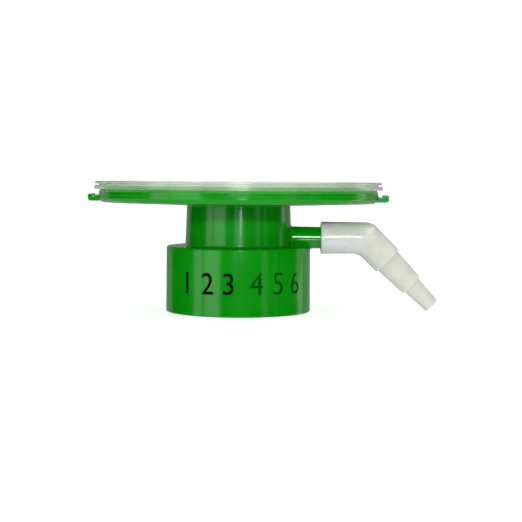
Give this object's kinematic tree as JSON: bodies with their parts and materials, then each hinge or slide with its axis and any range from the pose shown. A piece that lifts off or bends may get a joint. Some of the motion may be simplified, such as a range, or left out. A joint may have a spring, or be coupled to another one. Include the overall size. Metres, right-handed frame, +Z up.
{
  "type": "bottle-top vacuum filtration unit",
  "caption": "Bottle-top vacuum filter: green dish with a white membrane under a clear ring, a screw collar below and a swivelling hose elbow on the side stub.",
  "frame": {"origin": "centre of the bottle collar's open end, on the plane that the unit stands on", "axes": "+Z up along the filter's axis, +X along the vacuum stub towards the hose elbow"},
  "size_m": [0.1245, 0.1022, 0.046],
  "materials": {
    "green_body": "injection-moulded green, gloss",
    "clear_ring": "clear polystyrene, gloss",
    "membrane": "white polyethersulfone, matt",
    "gasket": "pale silicone, satin",
    "natural_elbow": "natural polyethylene, satin and slightly translucent"
  },
  "bodies": {
    "filter": {"filter_body": "green_body", "clamp_ring": "clear_ring", "membrane": "membrane", "bottle_gasket": "gasket"},
    "elbow": {"hose_elbow": "natural_elbow"}
  },
  "joints": [
    {"name": "elbow_swivel", "type": "hinge", "parent": "filter", "child": "elbow", "pos_m": [0.03405, 0, 0.0263], "axis": [1, 0, 0], "range_deg": [-145, 145]}
  ]
}
